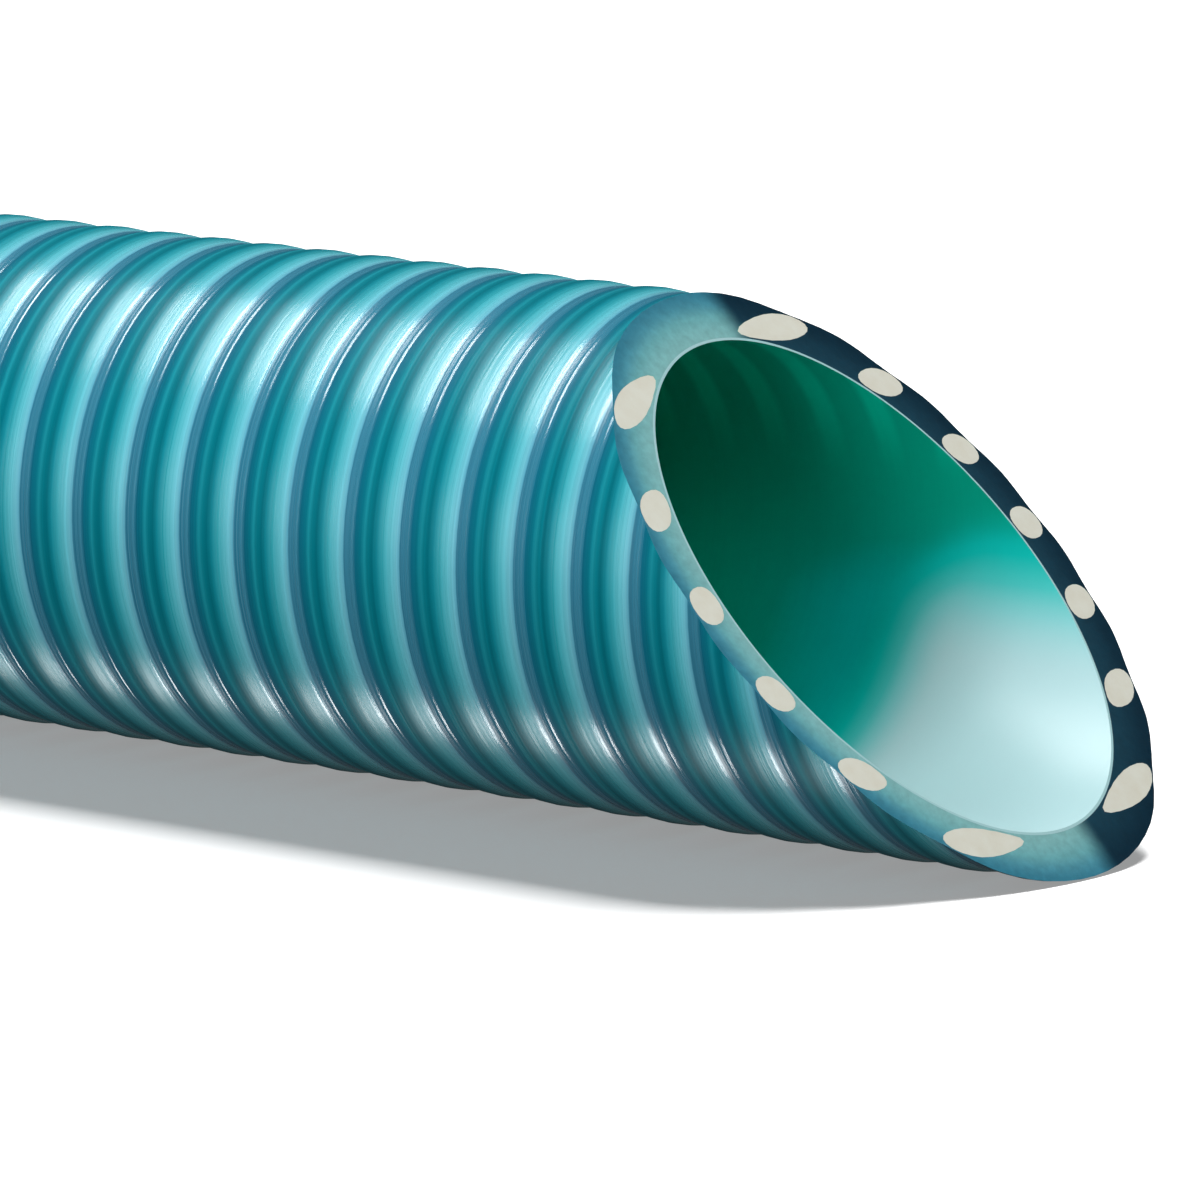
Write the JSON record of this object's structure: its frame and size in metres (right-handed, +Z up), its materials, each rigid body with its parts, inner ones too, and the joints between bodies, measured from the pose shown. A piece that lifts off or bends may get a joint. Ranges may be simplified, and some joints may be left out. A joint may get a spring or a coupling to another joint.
{
  "type": "pvc pressure hose",
  "caption": "Straight length of clear-tinted, spiral-reinforced PVC pressure hose with one square end and one slanted end.",
  "frame": {"origin": "on the surface that the hose lies on, below the middle of its length and width", "axes": "+X along the hose towards its slanted end, +Z up"},
  "size_m": [0.3048, 0.06, 0.06],
  "materials": {
    "soft_pvc": "glossy, translucent",
    "rigid_pvc": "satin"
  },
  "bodies": {
    "root": {"soft_wall": "soft_pvc", "rigid_spiral": "rigid_pvc", "spiral_arc_1": "rigid_pvc", "spiral_arc_2": "rigid_pvc", "spiral_arc_3": "rigid_pvc", "spiral_arc_4": "rigid_pvc", "spiral_arc_5": "rigid_pvc", "spiral_arc_6": "rigid_pvc"}
  },
  "joints": []
}
